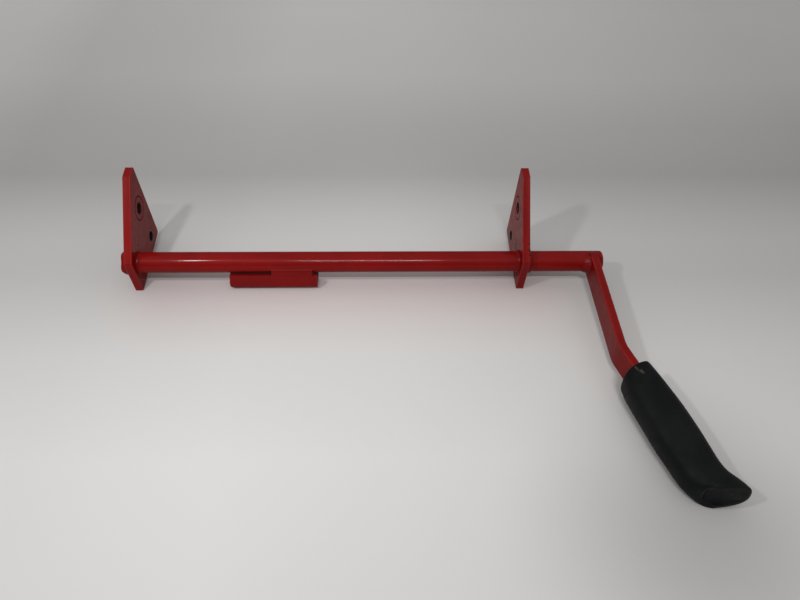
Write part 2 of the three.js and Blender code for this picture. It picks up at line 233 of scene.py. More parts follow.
def powder_coat(name, deep, bright, marks=(), peel=0.00002, chips=0.66, gloss=0.085):
    """Glossy powder coat with orange peel, a little dust, and chips where the edge mask is; it also
    carries painted shade, near black in recesses and darker towards +X, and a painted highlight on the
    bevels.
    """
    made, tree, shader = material(
        name, Coat_Weight=0.12, Coat_Roughness=gloss, Coat_IOR=1.6, IOR=1.12,
    )
    broad = grain(tree, 22, 3)
    fine = grain(tree, 260, 3)
    colour = mixed(tree, ranged(tree, broad, 0.35, 0.65), rgb(*deep), rgb(*bright))
    dust = maths(tree, "MULTIPLY", ranged(tree, grain(tree, 75, 5), 0.5, 0.8), 0.02)
    colour = mixed(tree, dust, colour, rgb(0.36, 0.16, 0.14))
    # Painted shade: the coat turns near black where the mesh marks a recess, and darkens towards +X where
    # the light falls off along the shaft.
    split = add(tree, "ShaderNodeSeparateXYZ", {0: place(tree)})
    painted_shade = maths(tree, "MAXIMUM", maths(tree, "MULTIPLY", mask(tree, "recess_shade"), 0.65),
                 ranged(tree, split.outputs["X"], -0.10, 0.22, 0.0, 0.15))
    colour = mixed(tree, painted_shade, colour, rgb(0.026, 0.0006, 0.0008))
    # Painted highlight: the edge mask lightens the coat on every bevel, standing for light glinting on
    # the edges.
    painted_edge_highlight = maths(tree, "MULTIPLY", mask(tree, "edge"), 0.2)
    colour = mixed(tree, painted_edge_highlight, colour, rgb(0.46, 0.045, 0.040))
    worn = maths(tree, "MULTIPLY", mask(tree, "edge"), ranged(tree, fine, chips, chips + 0.04))
    if marks:
        rough_edge = maths(tree, "ADD", spots(tree, marks), maths(tree, "MULTIPLY", fine, 0.5))
        worn = maths(tree, "MAXIMUM", worn, ranged(tree, rough_edge, 0.80, 1.10))
    colour = mixed(tree, worn, colour, rgb(0.030, 0.008, 0.008))
    tree.links.new(colour, shader.inputs["Base Color"])
    rough = ranged(tree, grain(tree, 90, 4), 0.3, 0.7, 0.30, 0.42)
    rough = maths(tree, "ADD", rough, maths(tree, "MULTIPLY", worn, 0.3))
    tree.links.new(rough, shader.inputs["Roughness"])
    bumps(tree, shader, [
        (grain(tree, 520, 2), peel),
        (grain(tree, 90, 2), peel * 2.0),
        (maths(tree, "SUBTRACT", 1.0, worn), 0.00005),
    ])
    return made


# Dark marks in the coat, mostly chips, and three dark smears on the right plate's inner face behind the
# shaft: lever millimetres and a radius.
LEFT_MARKS = [(0, 10.4, 15.4, 1.9), (0, 30.1, 24.7, 0.9)]
RIGHT_MARKS = [
    (400.5, 23.6, 9.6, 2.4), (400.5, 20.0, 6.8, 3.2), (400.5, 15.5, 4.6, 3.6),
    (408.2, -1.0, 33.3, 1.8), (408.2, -5.0, 28.8, 2.2), (408.2, -9.3, 24.4, 2.4),
    (408.2, -12.9, 20.6, 1.8), (414.5, -9.3, 7.4, 1.8), (412.5, -10.2, 5.6, 1.4),
    (418.0, -6.0, 9.5, 1.4),
]
DEEP, BRIGHT = (0.190, 0.0034, 0.0032), (0.222, 0.0044, 0.0040)
coat = powder_coat("powder_coat_red", DEEP, BRIGHT, RIGHT_MARKS + LEFT_MARKS)
# The weld beads' red is a little darker than the coat's: painted shade for the joints the beads fill.
weld_coat = powder_coat("weld_red", (0.165, 0.0032, 0.0030), (0.205, 0.0042, 0.0040), peel=0.00004,
                        gloss=0.28)


def bushing_coat():
    """The same coat, worn to dark steel in the bore where the pin turns, with painted shade in the
    groove.
    """
    made = powder_coat("bushing_red", DEEP, BRIGHT)
    tree = made.node_tree
    shader = tree.nodes["Principled BSDF"]
    coat_colour = shader.inputs["Base Color"].links[0].from_socket
    patches = ranged(tree, grain(tree, 170, 4), 0.40, 0.52)
    worn = maths(tree, "MULTIPLY", mask(tree, "bore"), maths(tree, "ADD", patches, 0.75))
    steel = mixed(tree, ranged(tree, grain(tree, 900, 3), 0.3, 0.7),
                  rgb(0.010, 0.009, 0.010), rgb(0.030, 0.026, 0.028))
    colour = mixed(tree, worn, coat_colour, steel)
    # Painted shade: the groove between the bushing and the plate is darkened near black.
    colour = mixed(tree, mask(tree, "groove"), colour, rgb(0.016, 0.003, 0.003))
    tree.links.new(colour, shader.inputs["Base Color"])
    return made


bushing = bushing_coat()


def polymer():
    made, tree, shader = material("bush_black", IOR=1.45, Specular_IOR_Level=0.5)
    tree.links.new(mixed(tree, grain(tree, 300, 3), rgb(0.004, 0.0045, 0.005),
                         rgb(0.009, 0.010, 0.011)), shader.inputs["Base Color"])
    tree.links.new(ranged(tree, grain(tree, 420, 3), 0.3, 0.7, 0.28, 0.45),
                   shader.inputs["Roughness"])
    bumps(tree, shader, [(grain(tree, 1500, 2), 0.00001)])
    return made


bush_black = polymer()


# Marks on the rubber, and the spots of painted shade along the end's crease: lever millimetres and a
# radius.
MOUTH_SCRATCH = [(484.6, -152.0, 8.6, 1.8), (486.2, -153.8, 8.6, 2.4), (487.8, -155.8, 8.5, 2.4),
                 (489.4, -158.0, 8.4, 2.0)]
END_SCUFFS = [(521.0, -271.0, -6.0, 5.0), (529.0, -273.5, -6.0, 5.5), (537.0, -270.5, -7.0, 4.0),
              (512.0, -272.5, -8.0, 4.0), (525.0, -262.0, 0.0, 4.0)]
END_CREASE = [(517.0, -266.6, 0.4, 2.0), (521.0, -267.0, 0.2, 2.2), (525.0, -267.0, 0.0, 2.2),
              (529.0, -266.6, -0.2, 2.2), (533.0, -265.8, -0.4, 2.2), (537.5, -264.4, -0.8, 2.0)]


def rubber():
    """Satin moulded rubber: fine grain, dusty scuffs at the mouth and the end, and painted shade along
    the crease at the end.
    """
    made, tree, shader = material("grip_rubber", IOR=1.4, Specular_IOR_Level=0.15,
                                  Sheen_Weight=0.02, Sheen_Roughness=0.5)
    shade = ranged(tree, grain(tree, 38, 4), 0.3, 0.7)
    colour = mixed(tree, shade, rgb(0.0030, 0.0036, 0.0038), rgb(0.0062, 0.0071, 0.0069))
    streaks = grain(tree, 230, 5, (1.0, 0.5, 1.0))
    rough_spots = maths(tree, "MULTIPLY", spots(tree, END_SCUFFS), ranged(tree, streaks, 0.45, 0.68))
    scratch = maths(tree, "MULTIPLY", spots(tree, MOUTH_SCRATCH), ranged(tree, streaks, 0.28, 0.50))
    scuff = maths(tree, "MAXIMUM", maths(tree, "MULTIPLY", rough_spots, 0.28), scratch)
    dusty = maths(tree, "MULTIPLY", mask(tree, "scuff"), ranged(tree, streaks, 0.42, 0.62))
    scuff = maths(tree, "MAXIMUM", scuff, maths(tree, "MULTIPLY", dusty, 0.16))
    colour = mixed(tree, scuff, colour, rgb(0.068, 0.062, 0.043))
    specks = ranged(tree, grain(tree, 800, 2), 0.70, 0.78)
    colour = mixed(tree, maths(tree, "MULTIPLY", specks, 0.12), colour, rgb(0.04, 0.04, 0.038))
    # Painted shade: the crease near the end is darkened near black, beside a bump that sinks it a little.
    crease = spots(tree, END_CREASE)
    colour = mixed(tree, maths(tree, "MULTIPLY", crease, 0.8), colour, rgb(0.0008, 0.0008, 0.0009))
    tree.links.new(colour, shader.inputs["Base Color"])
    tree.links.new(ranged(tree, grain(tree, 120, 4), 0.3, 0.7, 0.50, 0.66),
                   shader.inputs["Roughness"])
    bumps(tree, shader, [(grain(tree, 1300, 3), 0.00004), (grain(tree, 140, 3), 0.00012),
                         (maths(tree, "SUBTRACT", 1.0, crease), 0.0003)])
    return made


grip_rubber = rubber()

# ---- mesh helpers -------------------------------------------------------------------------------


def make(name, points, faces, node, surface, masks=None, weighted=True):
    """One closed piece from lever millimetres, standing for a CAD node."""
    mesh = bpy.data.meshes.new(name)
    mesh.from_pydata(put(points).tolist(), [], [tuple(int(i) for i in f) for f in faces])
    shaped = bmesh.new()
    shaped.from_mesh(mesh)
    bmesh.ops.recalc_face_normals(shaped, faces=shaped.faces)
    shaped.to_mesh(mesh)
    shaped.free()
    for key, values in (masks or {}).items():
        attribute = mesh.attributes.new(key, "FLOAT", "POINT")
        attribute.data.foreach_set("value", np.asarray(values, np.float32))
    mesh.shade_smooth()
    mesh.materials.append(surface)
    piece = bpy.data.objects.new(name, mesh)
    bpy.context.scene.collection.objects.link(piece)
    if weighted:
        piece.modifiers.new("even_flats", "WEIGHTED_NORMAL").keep_sharp = False
    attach(piece, "root")
    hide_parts(node)


def quarter(steps):
    """Pairs of 1 - sin and 1 - cos over a quarter turn, which round an edge."""
    turns = [k / (steps - 1) * math.pi / 2 for k in range(steps)]
    return [(1 - math.sin(a), 1 - math.cos(a)) for a in turns]


def skin(rings, loops_round=False):
    """Faces through a row of rings with the same count of points each, closed at both ends."""
    rings = [np.asarray(ring, float) for ring in rings]
    count = len(rings[0])
    faces = []
    for a in range(len(rings) if loops_round else len(rings) - 1):
        b = (a + 1) % len(rings)
        for i in range(count):
            j = (i + 1) % count
            faces.append((a * count + i, a * count + j, b * count + j, b * count + i))
    if not loops_round:
        faces.append(tuple(range(count)))
        faces.append(tuple(range((len(rings) - 1) * count, len(rings) * count)))
    return np.vstack(rings), faces


def lathe(profile, centre=(0, 0), segments=96, closed=False):
    """Turns a profile of (x, radius) about a line along X through (y, z)."""
    angles = np.linspace(0, 2 * math.pi, segments, endpoint=False)
    rings = []
    for x, radius in profile:
        rings.append(np.column_stack([
            np.full(segments, x),
            centre[0] + radius * np.cos(angles),
            centre[1] + radius * np.sin(angles),
        ]))
    return skin(rings, loops_round=closed)


def turned(points, angle):
    """Turns points about the shaft's axis."""
    c, s = math.cos(angle), math.sin(angle)
    points = np.array(points, float)
    y, z = points[:, 1].copy(), points[:, 2].copy()
    points[:, 1] = y * c - z * s
    points[:, 2] = y * s + z * c
    return points


def rounded_loop(corners, steps=8):
    """A closed outline with a curve in each corner of (x, y, r)."""
    loop = []
    for i, (x, y, r) in enumerate(corners):
        here = np.array([x, y], float)
        ways = []
        for other in (corners[i - 1], corners[(i + 1) % len(corners)]):
            way = np.array(other[:2], float) - here
            ways.append(way / np.linalg.norm(way))
        reach = r / math.tan(math.acos(float(np.clip(ways[0] @ ways[1], -1, 1))) / 2)
        start, end = here + ways[0] * reach, here + ways[1] * reach
        for k in range(steps + 1):
            t = k / steps
            loop.append((1 - t) ** 2 * start + 2 * t * (1 - t) * here + t * t * end)
    return np.array(loop)


def circle(centre, radius, steps=64):
    angles = np.linspace(0, 2 * math.pi, steps, endpoint=False)
    return np.column_stack([np.cos(angles), np.sin(angles)]) * radius + np.asarray(centre)


def inset(loop, distance, is_hole):
    """Moves a loop into the material by distance."""
    before, after = np.roll(loop, 1, 0), np.roll(loop, -1, 0)

    def normals(a, b):
        way = b - a
        way /= np.maximum(np.linalg.norm(way, axis=1, keepdims=True), 1e-9)
        return np.column_stack([-way[:, 1], way[:, 0]])

    first, second = normals(before, loop), normals(loop, after)
    middle = first + second
    middle /= np.linalg.norm(middle, axis=1, keepdims=True)
    stretch = 1 / np.maximum((middle * second).sum(1, keepdims=True), 0.5)
    return loop + middle * stretch * distance * (-1 if is_hole else 1)


def slab(outline, holes, low, high, bevel=0.6, support=0.7, hollow=0.0):
    """A flat plate with softened edges between two depths. Gives points of (x, y, depth)."""
    loops = [(outline, False, bevel)] + [(hole, True, 0.35) for hole in holes]
    points, faces, edge, tops, bottoms = [], [], [], [], []
    for loop, is_hole, size in loops:
        count = len(loop)
        rows = [(size + support, low, 0.0)]
        rows += [(size * inward, low + size * rise, 1.0) for inward, rise in quarter(5)]
        mirror = [(inward, high + low - depth, e) for inward, depth, e in reversed(rows)]
        depth_in = 0.0 if is_hole else hollow
        for t in np.linspace(-0.8, 0.8, 9):
            depth = (low + high) / 2 + t * ((high - low) / 2 - size)
            rows.append((depth_in * (1 - t * t), depth, 0.0))
        rows += mirror
        base = len(points)
        for inward, depth, e in rows:
            flat = inset(loop, inward, is_hole) if inward > 0 else loop
            points += [(x, y, depth) for x, y in flat]
            edge += [e] * count
        for a in range(len(rows) - 1):
            for i in range(count):
                j = (i + 1) % count
                first, second = base + a * count, base + (a + 1) * count
                faces.append((first + i, first + j, second + j, second + i))
        bottoms.append(list(range(base, base + count)))
        tops.append(list(range(base + (len(rows) - 1) * count, base + len(rows) * count)))
    for side in (bottoms, tops):
        flat_list = [i for loop in side for i in loop]
        shapes = [[Vector((points[i][0], points[i][1], 0)) for i in loop] for loop in side]
        faces += [tuple(flat_list[i] for i in face) for face in tessellate_polygon(shapes)]
    return np.array(points), faces, np.array(edge)


# ---- shaft --------------------------------------------------------------------------------------


def shaft_end(turn):
    """Half a profile: the end face, its rounding and the start of the round, as (depth, radius)."""
    r = SHAFT_R
    end = [(0.0, 0.8), (0.0, r - turn - 0.8)]
    end += [(turn * rise, r - turn * inward) for inward, rise in quarter(6)]
    end.append((turn + 1.0, r))
    return end


def build_shaft():
    segments, end_round, sunk_in_weld = 128, 2.0, 0.7
    end = shaft_end(end_round)
    body = [(x, SHAFT_R) for x in np.linspace(SHAFT_FROM + 12, SHAFT_TO - 12, 24)]
    profile = [(SHAFT_FROM + sunk_in_weld + x, radius) for x, radius in end] + body
    profile += [(SHAFT_TO - x, radius) for x, radius in reversed(end)]
    edge = [0.0, 0.0] + [1.0] * 6 + [0.0]
    worn = edge + [0.0] * len(body) + edge[::-1]
    points, faces = lathe(profile, segments=segments)
    make("cross_shaft", points, faces, "shaft", coat,
         {"edge": np.repeat(worn, segments)}, weighted=False)


build_shaft()

# ---- lever plates and their bushings ------------------------------------------------------------


def build_plate(side, low, hollow):
    """One plate from depth low on. Its rim is hollow by a few hundredths, as sheared plate is."""
    corners = [(x - SHAFT_AT[0], y - SHAFT_AT[1], r) for x, y, r in PLATE_CORNERS]
    holes = [
        circle((0, 0), SHAFT_R + 0.05, 96),
        circle(PIVOT_AT, PIVOT_HOLE_R, 96),
        circle(REAR_AT, REAR_R + 0.1, 64),
    ]
    points, faces, edge = slab(rounded_loop(corners), holes, low, low + PLATE_T, hollow=hollow)
    from_pivot = np.hypot(points[:, 0] - PIVOT_AT[0], points[:, 1] - PIVOT_AT[1])
    points = turned(points[:, [2, 0, 1]], LEAN)
    # Painted shade: the mask round the pivot hole darkens the hole's wall, which lines the groove round
    # the bushing.
    make(f"lever_plate_{side}", points, faces, f"plate_{side}", coat,
         {"edge": edge, "recess_shade": from_pivot < PIVOT_HOLE_R + 0.12})


def ring_piece(name, node, surface, profile, centre, segments, bore_radius, groove=(),
               worn_from=None):
    """A turned ring with masks for its bore and its groove rows; the bore is worn from an x on."""
    points, faces = lathe(profile, centre, segments, closed=True)
    radius = np.hypot(points[:, 1] - centre[0], points[:, 2] - centre[1])
    dark = np.repeat([i in groove for i in range(len(profile))], segments)
    bore = np.clip((bore_radius + 0.9 - radius) / 0.8, 0, 1)
    if worn_from is not None:
        bore = bore * np.clip((points[:, 0] - worn_from) / 1.2, 0, 1)
    masks = {"bore": bore, "edge": np.zeros(len(points)), "groove": dark}
    make(name, turned(points, LEAN), faces, node, surface, masks)


def build_bushings(side, face_x, outward):
    """The pivot bushing and the black rear bush of one plate."""
    def profile(rows):
        return [(face_x + outward * x, radius) for x, radius in rows]

    long = PLATE_T + PIVOT_PROUD
    neck, r, bore, lead = 2.6, PIVOT_R, PIVOT_BORE_R, 0.9
    rows = [
        (lead + 0.5, bore), (lead, bore), (lead - 0.3, bore + 0.15), (0.3, bore + lead - 0.15),
        (0.0, bore + lead + 0.3), (0.0, bore + lead + 0.9), (0.0, r - 1.0), (0.0, r - 0.4),
        (0.12, r - 0.12), (0.4, r), (0.9, r), (neck, r), (neck, PIVOT_HOLE_R - 0.02),
        (PLATE_T - neck, PIVOT_HOLE_R - 0.02), (PLATE_T - neck, r), (PLATE_T - 0.9, r),
        (long - 0.5, r), (long - 0.15, r - 0.15), (long, r - 0.5), (long, r - 1.0),
        (long, bore + lead + 0.9), (long, bore + lead + 0.3), (long - 0.3, bore + lead - 0.15),
        (long - lead + 0.3, bore + 0.15), (long - lead, bore), (long - lead - 0.5, bore),
        (0.45 * long, bore), (0.25 * long, bore),
    ]
    ring_piece(f"bushing_{side}", f"pivot_bushing_{side}", bushing,
               profile(rows), PIVOT_AT, 96, bore, groove=range(9, 16),
               worn_from=-3.4 if side == "left" else None)
    long = PLATE_T + REAR_PROUD
    r, bore = REAR_R, REAR_BORE_R
    rows = [
        (0.5, bore), (0.12, bore + 0.12), (0.0, bore + 0.4), (0.0, r - 0.4), (0.1, r - 0.1),
        (0.4, r), (long - 0.3, r), (long - 0.08, r - 0.08), (long, r - 0.3),
        (long, bore + 0.4), (long - 0.12, bore + 0.12), (long - 0.5, bore),
    ]
    ring_piece(f"link_bush_{side}", f"rear_bush_{side}", bush_black,
               profile(rows), REAR_AT, 64, bore)


build_plate("left", -PLATE_T, 0.08)
build_plate("right", PLATE_SPACING, 0.16)
build_bushings("left", 0, -1)
build_bushings("right", PLATE_SPACING, 1)

# ---- stop tab -----------------------------------------------------------------------------------


def build_tab():
    """A folded strip: the upright leg in front and a foot running back under the shaft."""
    bottom, back = TAB_TOP - TAB_H, TAB_FRONT + TAB_FOOT
    inner, soft = TAB_FRONT + TAB_T, 0.3
    most_lift = 2.2

    def section(lift, edge_in):
        """The fold's outline, pulled in all round by edge_in, with its underside raised by lift."""
        e, low = edge_in, bottom + lift
        outline = [
            (back - e, low + e, 0.3), (back - e, bottom + TAB_T - e, 0.3),
            (inner - e, bottom + TAB_T - e, 1.0), (inner - e, TAB_TOP - e, 0.3),
            (TAB_FRONT + e, TAB_TOP - e, 0.3), (TAB_FRONT + e, low + e, 0.9),
        ]
        return rounded_loop(outline, 5)

    def row(depth, lift, edge_in, from_left):
        ring = section(lift, edge_in)
        share = np.clip((ring[:, 1] - bottom) / TAB_H, 0, 1)
        if from_left:
            behind = np.clip((ring[:, 0] - inner) / 2, 0, 1)
            x = TAB_FROM + depth + TAB_SLANT * share - TAB_FOOT_EXTRA * behind
        else:
            x = np.full(len(ring), TAB_TO - depth)
        return np.column_stack([x, ring])

    rings, worn = [], []
    for inward, rise in quarter(5):
        rings.append(row(soft * rise, most_lift, soft * inward, True))
        worn.append(1.0)
    for depth in (0.6, 1.0, 1.5, 2.2, 3.2):
        short = max(TAB_CORNER_R - depth, 0)
        lift = TAB_CORNER_R - math.sqrt(TAB_CORNER_R ** 2 - short ** 2)
        rings.append(row(depth, min(lift, most_lift), 0.0, True))
        worn.append(0.0)
    for x in np.linspace(TAB_FROM + 8, TAB_TO - 4, 12):
        ring = section(0.0, 0.0)
        rings.append(np.column_stack([np.full(len(ring), x), ring]))
        worn.append(0.0)
    rings.append(row(soft + 0.5, 0.0, 0.0, False))
    worn.append(0.0)
    for inward, rise in quarter(5):
        rings.append(row(soft * inward, 0.0, soft * rise, False))
        worn.append(1.0)
    points, faces = skin(rings)
    # Painted shade: the inner side of the leg and the foot under the shaft are darkened, standing for the
    # shade in the slot behind the leg.
    recess_shade = np.clip((points[:, 1] - (inner - 0.6)) / 0.5, 0, 1)
    make("tab_strip", points, faces, "stop_tab", coat,
         {"edge": np.repeat(worn, len(rings[0])), "recess_shade": recess_shade})


def build_tab_weld():
    """A filled weld, nearly flush, from the shaft's front down to the tab's top edge."""
    stations = np.arange(WELD_FROM, WELD_TO + 0.01, 0.5)
    rings = []
    for x in stations:
        fade = min(1.0, (x - WELD_FROM) / 1.5, (WELD_TO - x) / 1.5)
        swell = 0.35 + 0.65 * math.sqrt(max(fade, 0.0))
        ripple = 0.10 * abs(math.sin(x / 2.6 * math.pi)) + 0.14 * noise(Vector((x * 0.3, 7, 0)))
        high = np.array([-SHAFT_R * math.cos(0.10), -SHAFT_R * math.sin(0.10)])
        low = np.array([TAB_FRONT + 0.12, TAB_TOP - 0.25])
        outward = np.array([-0.89, 0.45])
        ring = []
        for t in np.linspace(0, 1, 9):
            bulge = math.sin(math.pi * t) * (0.35 + ripple) * swell
            ring.append(high * (1 - t) + low * t + outward * bulge)
        ring += [np.array([TAB_FRONT + 2.2, TAB_TOP - 0.3]), np.array([-9.0, -5.2]),
                 np.array([-10.2, -1.0])]
        rings.append([(x, y, z) for y, z in ring])
    points, faces = skin(rings)
    make("tab_weld", points, faces, "weld_stop_tab", weld_coat,
         {"edge": np.zeros(len(points))}, weighted=False)


build_tab()
build_tab_weld()

# ---- arm ----------------------------------------------------------------------------------------

CUT = BEND_R * math.tan(BEND / 2)
ARC = BEND_R * BEND
ARC_SAVING = 2 * CUT - ARC


def arm_point(distance):
    """The arm's middle line from above, before the slope: point and heading."""
    start = TO_BEND - CUT
    turn = min(max((distance - start) / BEND_R, 0), BEND)
    heading = np.array([math.sin(turn), -math.cos(turn), 0])
    point = np.array([ARM_X + ARM_T / 2 + BEND_R * (1 - math.cos(turn)),
                      -min(distance, start) - BEND_R * math.sin(turn), 0.0])
    return point + heading * max(0, distance - start - ARC), heading


def along(past_corner):
    """Distance along the bent middle line, from a distance past the bend's sharp corner."""
    return TO_BEND + past_corner - ARC_SAVING


def across(distance, sideways, upward):
    """A point of the arm's cross section; sideways is to the outer side."""
    point, heading = arm_point(distance)
    side = np.array([-heading[1], heading[0], 0])
    return point + side * sideways + np.array([0, 0, upward])


def bar_section(half_t, half_w, r, support):
    """A rolled bar's section with soft corners, and its edge mask."""
    section, edge = [], []
    for sx, sy, start in ((1, 1, 0), (-1, 1, 90), (-1, -1, 180), (1, -1, 270)):
        cx, cy = sx * (half_t - r), sy * (half_w - r)
        turn = [(cx + r * math.cos(math.radians(start + a)),
                 cy + r * math.sin(math.radians(start + a))) for a in (0, 22.5, 45, 67.5, 90)]
        painted_falloff_y = sx * sy > 0
        first = (turn[0][0], turn[0][1] - sy * support) if painted_falloff_y else (
            turn[0][0] - sx * support, turn[0][1])
        last = (turn[-1][0] - sx * support, turn[-1][1]) if painted_falloff_y else (
            turn[-1][0], turn[-1][1] - sy * support)
        section += [first, *turn, last]
        edge += [0.0, 1.0, 1.0, 1.0, 1.0, 1.0, 0.0]
    return section, edge


def build_arm():
    section, edge = bar_section(ARM_T / 2, ARM_W / 2, 0.8, 0.8)
    end = along(AFTER_BEND)
    start = TO_BEND - CUT
    first = 3.0
    stations = [first + 0.4, first + 1.0, first + 2.0]
    stations += list(np.linspace(first, start, 14))[1:]
    stations += list(np.linspace(start, start + ARC, 12))[1:]
    stations += list(np.linspace(start + ARC, end, 14))[1:]
    rings = [[across(first, 0.9 * s, 0.96 * u) for s, u in section]]
    rings += [[across(d, s, u) for s, u in section] for d in stations]
    points, faces = skin(rings)
    make("arm_bar", turned(points, SLOPE), faces, "lever_arm", coat,
         {"edge": np.tile(edge, len(rings))})


build_arm()

# ---- grip ---------------------------------------------------------------------------------------


def station_at(position):
    """Smoothly interpolated grip section, in the order of the table's columns."""
    at = GRIP_STATIONS[:, 0]
    i = int(np.clip(np.searchsorted(at, position) - 1, 0, len(at) - 2))
    t = (position - at[i]) / (at[i + 1] - at[i])
    rows = [GRIP_STATIONS[k, 1:] for k in (max(i - 1, 0), i, i + 1, min(i + 2, len(at) - 1))]
    places = [at[k] for k in (max(i - 1, 0), i, i + 1, min(i + 2, len(at) - 1))]
    span = places[2] - places[1]
    lead = (rows[2] - rows[0]) / max(places[2] - places[0], 1e-6) * span
    trail = (rows[3] - rows[1]) / max(places[3] - places[1], 1e-6) * span
    t2, t3 = t * t, t * t * t
    return ((2 * t3 - 3 * t2 + 1) * rows[1] + (t3 - 2 * t2 + t) * lead
            + (3 * t2 - 2 * t3) * rows[2] + (t3 - t2) * trail)


RING = 96


def grip_ring(position, shrink=0.0, forward=0.0, softer=0.0):
    """The grip's section, pulled in by shrink; softer pulls its inner side in further."""
    station = station_at(min(position, GRIP_STATIONS[-1, 0]))
    inner, outer, high, lean, skew, shear, squareness = station
    _, heading = arm_point(along(position))
    ring = []
    for k in range(RING):
        angle = 2 * math.pi * k / RING
        c, s = math.cos(angle), math.sin(angle)
        reach = outer if c > 0 else inner
        sideways = math.copysign(abs(c) ** (2 / squareness), c)
        upward = math.copysign(abs(s) ** (2 / squareness), s)
        ahead = skew * sideways - lean * upward + forward
        pulled = shrink + softer * max(0.0, -sideways) * min(shrink, 1.6)
        across_by = sideways * (reach - pulled) + shear * upward
        point = across(along(position), across_by, 0)
        point = point + heading * ahead
        point[2] = upward * (high - shrink) - GRIP_DROP
        ring.append(point)
    return ring


def socket_ring(position, half_t, half_w, forward=(0.0, 0.0)):
    """A rounded rectangle round the bar, with its points matched to a grip ring."""
    lean, skew = forward
    _, heading = arm_point(along(position))
    ring = []
    for k in range(RING):
        angle = 2 * math.pi * k / RING
        c, s = math.cos(angle), math.sin(angle)
        sideways = math.copysign(abs(c) ** (2 / 9), c)
        upward = math.copysign(abs(s) ** (2 / 9), s)
        point = across(along(position), sideways * half_t, 0)
        point = point + heading * (skew * sideways - lean * upward)
        point[2] = upward * half_w
        ring.append(point)
    return ring


def build_grip():
    first, last = GRIP_STATIONS[0, 0], GRIP_STATIONS[-1, 0]
    mouth_round, end_round, play = 1.1, 1.6, 0.15
    half_t, half_w = ARM_T / 2 + play, ARM_W / 2 + play
    rings = [socket_ring(AFTER_BEND + 0.2, half_t * 0.3, half_w * 0.3),
             socket_ring(AFTER_BEND + 0.2, half_t, half_w),
             socket_ring(AFTER_BEND - 0.6, half_t, half_w)]
    rings += [socket_ring(p, half_t, half_w) for p in np.linspace(110, first + 9, 12)]
    rings += [socket_ring(first + 4, half_t, half_w, (1.8, -0.4)),
              socket_ring(first + 0.9, half_t, half_w, (3.0, -0.6)),
              socket_ring(first + 0.2, half_t + 0.7, half_w + 0.2, (3.1, -0.7))]
    rings += [grip_ring(first, mouth_round * inward, mouth_round * rise)
              for inward, rise in quarter(7)]
    rings += [grip_ring(p) for p in np.linspace(first + 3.2, last - 2.6, 76)]
    rings += [grip_ring(last, end_round * rise, end_round * (1 - inward) - 1.4, 1.5)
              for inward, rise in quarter(8)]
    rings += [grip_ring(last, shrink, dome) for shrink, dome in ((3.4, 0.35), (6.5, 0.45))]
    points, faces = skin(rings)
    lever = turned(points, SLOPE)
    scuff = np.zeros(len(lever))
    for centre, radius in (((514, -146, 13), 17), ((566, -262, 8), 15), ((552, -270, 4), 12)):
        away = np.linalg.norm(lever - np.array(centre, float), axis=1)
        scuff = np.maximum(scuff, np.clip(1 - away / radius, 0, 1))
    make("rubber_grip", lever, faces, "hand_grip", grip_rubber,
         {"scuff": scuff}, weighted=False)


build_grip()

# ---- weld beads ---------------------------------------------------------------------------------


def bead(name, node, face_x, away, climb, run, arc=None, seed=0, pitch=2.5, ripple=0.24,
         lobes=0.0, flat=0.0):
    """A rippled fillet round the shaft against a face.

    climb gives its height on the face for an angle, and run its length on the shaft. flat turns its
    full section into a hollow one, and lobes makes its length swell and shrink round the shaft.
    """
    start, stop = arc or (0.0, 2 * math.pi)
    count = max(24, int((stop - start) * SHAFT_R / 0.28))
    angles = np.linspace(start, stop, count + 1)
    if arc is None:
        angles = angles[:-1]
    across_count = 11
    rings = []
    for angle in angles:
        wander = noise(Vector((math.cos(angle) * 1.9, math.sin(angle) * 1.9, seed * 5.1)))
        quick = noise(Vector((math.cos(angle) * 5.5, math.sin(angle) * 5.5, seed * 3.7 + 9)))
        fade = 1.0
        if arc is not None:
            fade = math.sqrt(min(1.0, (angle - start) / 0.16 + 0.04, (stop - angle) / 0.16 + 0.04))
        height = climb(angle) * (1 + 0.20 * wander + 0.08 * quick) * fade
        length = run * (1 + 0.10 * wander - 0.08 * quick) * (0.6 + 0.4 * fade)
        if lobes:
            length = run * (1 + lobes * math.cos(4 * (angle - math.pi / 2)) + 0.04 * wander)
        ring = [(-0.3, height)]
        for k in range(across_count):
            t = k / (across_count - 1)
            phase = angle * SHAFT_R / pitch + 0.45 * (2 * t - 1) ** 2 + 0.9 * wander
            wave = abs(math.sin(math.pi * phase)) ** 0.7 - 0.6
            lift = 1 + wave * ripple / 2.4 * math.sin(math.pi * t) * fade
            phi = t * math.pi / 2
            reach = (1 - flat) * math.sin(phi) + flat * t
            rise = (1 - flat) * math.cos(phi) + flat * (1 - t) ** 1.3
            ring.append((length * reach * lift, height * rise * lift))
        ring += [(length, -0.3), (-0.3, -0.3)]
        rings.append([(
            face_x + away * x,
            (SHAFT_R + r) * math.cos(angle),
            (SHAFT_R + r) * math.sin(angle),
        ) for x, r in ring])
    points, faces = skin(rings, loops_round=arc is None)
    make(name, points, faces, node, weld_coat,
         {"edge": np.zeros(len(points))}, weighted=False)


